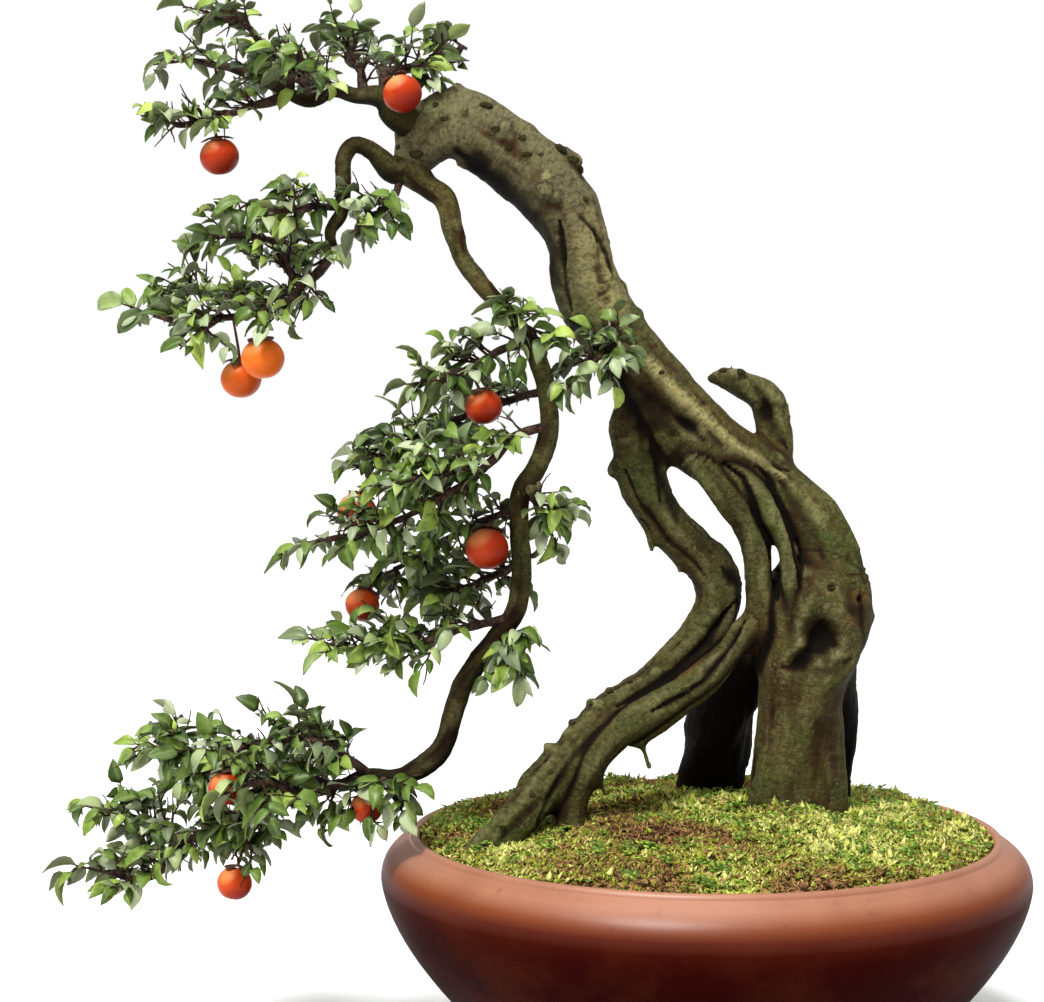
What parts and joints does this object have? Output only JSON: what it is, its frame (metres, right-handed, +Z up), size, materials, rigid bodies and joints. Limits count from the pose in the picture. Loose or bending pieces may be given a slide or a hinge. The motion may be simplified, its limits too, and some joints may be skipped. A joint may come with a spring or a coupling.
{
  "type": "diospyros armata bonsai",
  "caption": "Potted semi-cascade persimmon bonsai: a hollowed leaning trunk over a bare root leg, one long branch falling beside the round pot, pointed leaves and small orange fruits.",
  "frame": {"origin": "centre of the pot's flat underside, on the surface that it stands on", "axes": "+Z up along the pot's axis, the tree's front towards -Y, the crown and the falling branch towards -X"},
  "size_m": [0.5935, 0.39, 0.6381],
  "materials": {
    "pot": "satin",
    "soil": "matte",
    "screen": "matte",
    "bark": "matte",
    "leaf": "satin",
    "fruit": "satin",
    "calyx": "matte"
  },
  "bodies": {
    "root": {"pot": "pot", "soil": "soil", "drain_screen_1": "screen", "drain_screen_2": "screen", "drain_screen_3": "screen", "tree_wood": "bark", "fruit_01": "fruit", "calyx_01": "calyx", "fruit_02": "fruit", "calyx_02": "calyx", "fruit_03": "fruit", "calyx_03": "calyx", "fruit_04": "fruit", "calyx_04": "calyx", "fruit_05": "fruit", "calyx_05": "calyx", "fruit_06": "fruit", "calyx_06": "calyx", "fruit_07": "fruit", "calyx_07": "calyx", "fruit_08": "fruit", "calyx_08": "calyx", "fruit_09": "fruit", "calyx_09": "calyx", "fruit_10": "fruit", "calyx_10": "calyx", "fruit_11": "fruit", "calyx_11": "calyx", "leafy_bough_crown_1": "leaf", "leafy_bough_crown_2": "leaf", "leafy_bough_crown_3": "leaf", "leafy_bough_crown_4": "leaf", "leafy_bough_crown_5": "leaf", "leafy_bough_crown_6": "leaf", "leafy_bough_crown_7": "leaf", "leafy_bough_shoulder_1": "leaf", "leafy_bough_shoulder_2": "leaf", "leafy_bough_shoulder_3": "leaf", "leafy_bough_shoulder_4": "leaf", "leafy_bough_shoulder_5": "leaf", "leafy_bough_shoulder_6": "leaf", "leafy_bough_middle_1": "leaf", "leafy_bough_middle_2": "leaf", "leafy_bough_middle_3": "leaf", "leafy_bough_middle_4": "leaf", "leafy_bough_middle_5": "leaf", "leafy_bough_middle_6": "leaf", "leafy_bough_middle_7": "leaf", "leafy_bough_middle_8": "leaf", "leafy_bough_middle_9": "leaf", "leafy_bough_middle_10": "leaf", "leafy_bough_middle_11": "leaf", "leafy_bough_lowest_1": "leaf", "leafy_bough_lowest_2": "leaf", "leafy_bough_lowest_3": "leaf", "leafy_bough_lowest_4": "leaf", "leafy_bough_lowest_5": "leaf", "leafy_bough_lowest_6": "leaf", "leafy_bough_lowest_7": "leaf"}
  },
  "joints": []
}
